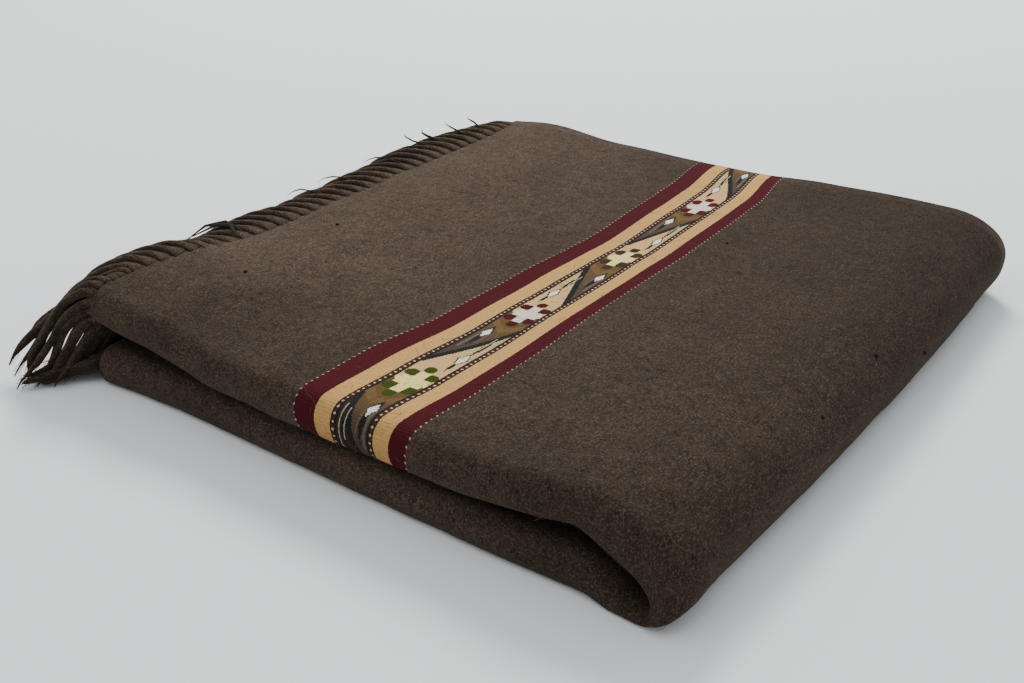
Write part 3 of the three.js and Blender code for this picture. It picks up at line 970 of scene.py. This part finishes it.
def fringeFinish():
    f = Finish("twisted_wool")
    place = f.node("ShaderNodeTexCoord").outputs["Object"]
    colour, _, fine = woolGround(f, place)
    around, run = f.axes(f.node("ShaderNodeUVMap", uv_map="cord").outputs["UV"])
    plies = f.line(run, 1000 / fringe["twist"], f.both(around, -2))
    groove = f.math("PINGPONG", plies, 0.5)
    yarns = f.math("PINGPONG", f.both(plies, cordLook["yarns"]), 0.5)
    # painted shade on each cord's sides, so the gaps between cords read dark and their tops lit
    flankShade = f.away(f.math("PINGPONG", f.math("ADD", around, 0.25), 0.5), 0.25)
    shade = f.both(f.span(groove, *cordLook["groove"]), f.span(yarns, *cordLook["yarn"]))
    shade = f.both(shade, f.span(flankShade, *cordLook["flankShade"]))
    # painted shade on the strands at the front corner, painted light on those towards the back
    frontToBackShade = f.span(f.axes(place)[1], *cordLook["back"])
    colour = f.brighter(colour, f.both(shade, frontToBackShade))
    height = f.math("ADD", shade, f.both(fine, cordLook["fine"]))
    return f.dress(colour, height, cordLook["bump"], cordLook["bumpDeep"], wool["cordSheen"])


cordFinish = fringeFinish()
topFringe = makeFringe(
    "top_fringe", "upper", cloth["topEnd"], layer=0, arcs=topArcs, salt=3, yarns=(-70, 362))
lowFringe = makeFringe(
    "low_fringe", "lower", cloth["lowEnd"], layer=2, arcs=lowArcs, salt=11, yarns=(-40, 40))
for piece, node in ((topFringe, "fringe_top_end"), (lowFringe, "fringe_low_end")):
    piece.data.materials.append(cordFinish)
    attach(piece, "root")
    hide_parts(node)
print("stage: fringes")

# stray yarns at the back of the top fringe, and one dark lock that lies across it
strays = [         # place across, then steps outwards, sideways and up from the cloth's end
    {"along": 326, "thick": 1.3, "path": ((6, 0, 3), (12, 1, 6), (17, 1, 7.5), (20, 3, 8))},
    {"along": 313, "thick": 1.2, "path": ((8, -2, 3), (15, -4, 6), (20, -5, 8), (23, -4, 9))},
    {"along": 296, "thick": 1.8, "path": ((12, -6, 4), (20, -8, 6), (26, -7, 7), (28, -5, 9))},
    {"along": 288, "thick": 1.2, "path": ((14, -9, 4), (22, -13, 6), (29, -13, 8), (31, -11, 9))},
    {"along": 248, "thick": 0.9,
     "path": ((16, -6, 5), (22, -9, 5), (26, -12, 3.5), (28, -15, 1.5))},
    {"along": 208, "thick": 0.9, "path": ((16, -6, 4), (22, -9, 4), (26, -12, 3), (28, -15, 1))},
    {"along": 182, "thick": 0.9,
     "path": ((16, -6, 3), (22, -9, 4), (26, -12, 2.5), (28, -15, 0.5))},
    {"along": 101, "thick": 2.8, "path": ((3, 3, 3), (9, 6, 4.5), (17, 3, 4), (26, -7, -1.5))},
    {"along": 110, "thick": 2.4, "path": ((8, 0, 3), (15, -1, 5), (24, -8, 3), (31, -16, -4))},
]
strayForm = {"gap": 1.0, "steps": 3, "sides": 5, "thinFrom": 0.5, "thinned": 0.75}
plainTones = {
    "dark_yarn": (0.034, 0.026, 0.020, 1), "pale_fibre": (0.12, 0.088, 0.062, 1),
    "dark_slub": (0.020, 0.014, 0.011, 1),
}


def plainFinish(name):
    f = Finish(name)
    f.shader.inputs["Base Color"].default_value = plainTones[name]
    f.shader.inputs["Roughness"].default_value = wool["roughness"]
    f.shader.inputs["Specular IOR Level"].default_value = wool["plainShine"]
    return f.material


def makeStrays():
    strands = Strands()
    for row in strays:
        root = clothPoint(("upper", cloth["topEnd"]), row["along"], topDepth)
        root.x -= strayForm["gap"]
        knots = [root] + [root + Vector((-out, side, up)) for out, side, up in row["path"]]
        steps, sides = strayForm["steps"], strayForm["sides"]
        corners = [2 * math.pi * s / sides for s in range(sides)]
        path = []
        for low, high in zip(knots, knots[1:]):
            path += [low.lerp(high, i / steps) for i in range(steps)]
        path.append(knots[-1])

        def shape(i, at, ahead):
            thinned = strayForm["thinned"] * smooth(strayForm["thinFrom"], 1, i / (len(path) - 1))
            side = levelSide(ahead)
            return roundRing(side, ahead.cross(side), row["thick"] / 2 * (1 - thinned), corners)

        strands.tube(path, sides, runsAlong(path), shape)
    return strands.piece("stray_yarns")


strayYarns = makeStrays()
strayYarns.data.materials.append(plainFinish("dark_yarn"))
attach(strayYarns, "root")

# nap: fine hairs that stand off the cloth, a few long pale ones, and dark slubs of wool
nap = {
    "hairs": 850, "short": (3.0, 9.0), "thick": 0.11, "bend": 1.3,
    "stand": 0.25, "standSpread": (0.6, 1.6), "fromEnd": 6, "pastFold": 24,
    "along": (-14, 350), "nearFront": (-14, 40), "anywhere": 0.85,
    "longFrom": 12, "longThick": 0.2, "longStand": 0.5, "sunk": 0.4,
    "parts": 4, "longParts": 7,
    "aheadOfY": 3,     # how much further along the cloth a place lies than its y on the pile
}
slubForm = {"thick": 1.7, "height": 1.4, "long": 1.25, "spread": 0.3, "lift": 0.3}
longHairs = rows(  # place on the pile, heading in degrees, length and bend
    "x y heading length bend",
    (290, 8, 60, 9, 1.6),
    (118, 62, 60, 20, -1.8),
    (96, 120, 20, 16, 1.9),
    (215, 120, 110, 17, 1.2),
    (60, 216, 80, 18, -1.5),
    (285, 190, 40, 15, 1.4),
)
slubs = [          # their x and y on the pile
    (218, 243), (301, 5), (308, 13), (307, 119), (306, 179), (313, 223), (42, 67), (32, 143),
]


def surfaceAt(along, x, step=1.0):
    if x <= bigFold:
        place, nextPlace = ("upper", x), ("upper", x + step)
    else:
        place, nextPlace = (("fold", (spot - bigFold) / frontFold) for spot in (x, x + step))
    here = clothPoint(place, along, topDepth)
    ahead = (clothPoint(nextPlace, along, topDepth) - here).normalized()
    aside = (clothPoint(place, along + step, topDepth) - here).normalized()
    return rippled(here), ahead, aside, ahead.cross(aside).normalized()


def hair(strands, along, x, heading, length, bend, thick, stand):
    start, ahead, aside, up = surfaceAt(along, x)
    path, at, angle = [], start + up * (cloth["thick"] / 2 + stand * nap["sunk"]), heading
    segments = nap["parts"] if length < nap["longFrom"] else nap["longParts"]
    for i in range(segments + 1):
        k = i / segments
        path.append(at + up * stand * math.sin(k * math.pi))
        angle += bend / segments
        at = at + (ahead * math.cos(angle) + aside * math.sin(angle)) * length / segments
    runs = [length * i / segments for i in range(segments + 1)]

    def shape(i, spot, direction):
        return roundRing(direction.cross(up).normalized(), up, thick / 2, thirds)

    strands.tube(path, 3, runs, shape)


def makeNap():
    strands = Strands()
    for _ in range(nap["hairs"]):
        among = nap["along"] if random.random() < nap["anywhere"] else nap["nearFront"]
        along = random.uniform(*among)
        x = random.uniform(nap["fromEnd"], bigFold + nap["pastFold"])
        length = random.uniform(*nap["short"])
        heading = random.uniform(0, 2 * math.pi)
        bend = random.uniform(-1, 1) * nap["bend"]
        stand = nap["stand"] * random.uniform(*nap["standSpread"])
        hair(strands, along, x, heading, length, bend, nap["thick"], stand)
    for row in longHairs:
        hair(
            strands, row["y"] + nap["aheadOfY"], row["x"], math.radians(row["heading"]),
            row["length"], row["bend"], nap["longThick"], nap["longStand"])
    return strands.piece("nap_hairs")


def makeSlubs():
    bpy.ops.object.select_all(action="DESELECT")
    made = []
    for n, (x, y) in enumerate(slubs):
        spot, _, _, up = surfaceAt(y + nap["aheadOfY"], x)
        spot += up * (cloth["thick"] / 2 + slubForm["lift"])
        size = slubForm["thick"] / 2000 * (1 + slubForm["spread"] * uneven(n, 2))
        bpy.ops.mesh.primitive_ico_sphere_add(subdivisions=2, radius=size, location=placed(*spot))
        slub = bpy.context.object
        slub.scale = (1.0, slubForm["long"], slubForm["height"] / slubForm["thick"])
        made.append(slub)
    for slub in made:
        slub.select_set(True)
    bpy.context.view_layer.objects.active = made[0]
    bpy.ops.object.transform_apply(location=True, rotation=True, scale=True)
    bpy.ops.object.join()
    joined = bpy.context.object
    joined.name = "wool_slubs"
    bpy.ops.object.shade_smooth()
    return joined


napHairs = makeNap()
napHairs.data.materials.append(plainFinish("pale_fibre"))
woolSlubs = makeSlubs()
woolSlubs.data.materials.append(plainFinish("dark_slub"))
for piece in (napHairs, woolSlubs):
    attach(piece, "root")
print("stage: stray yarns, nap and slubs")
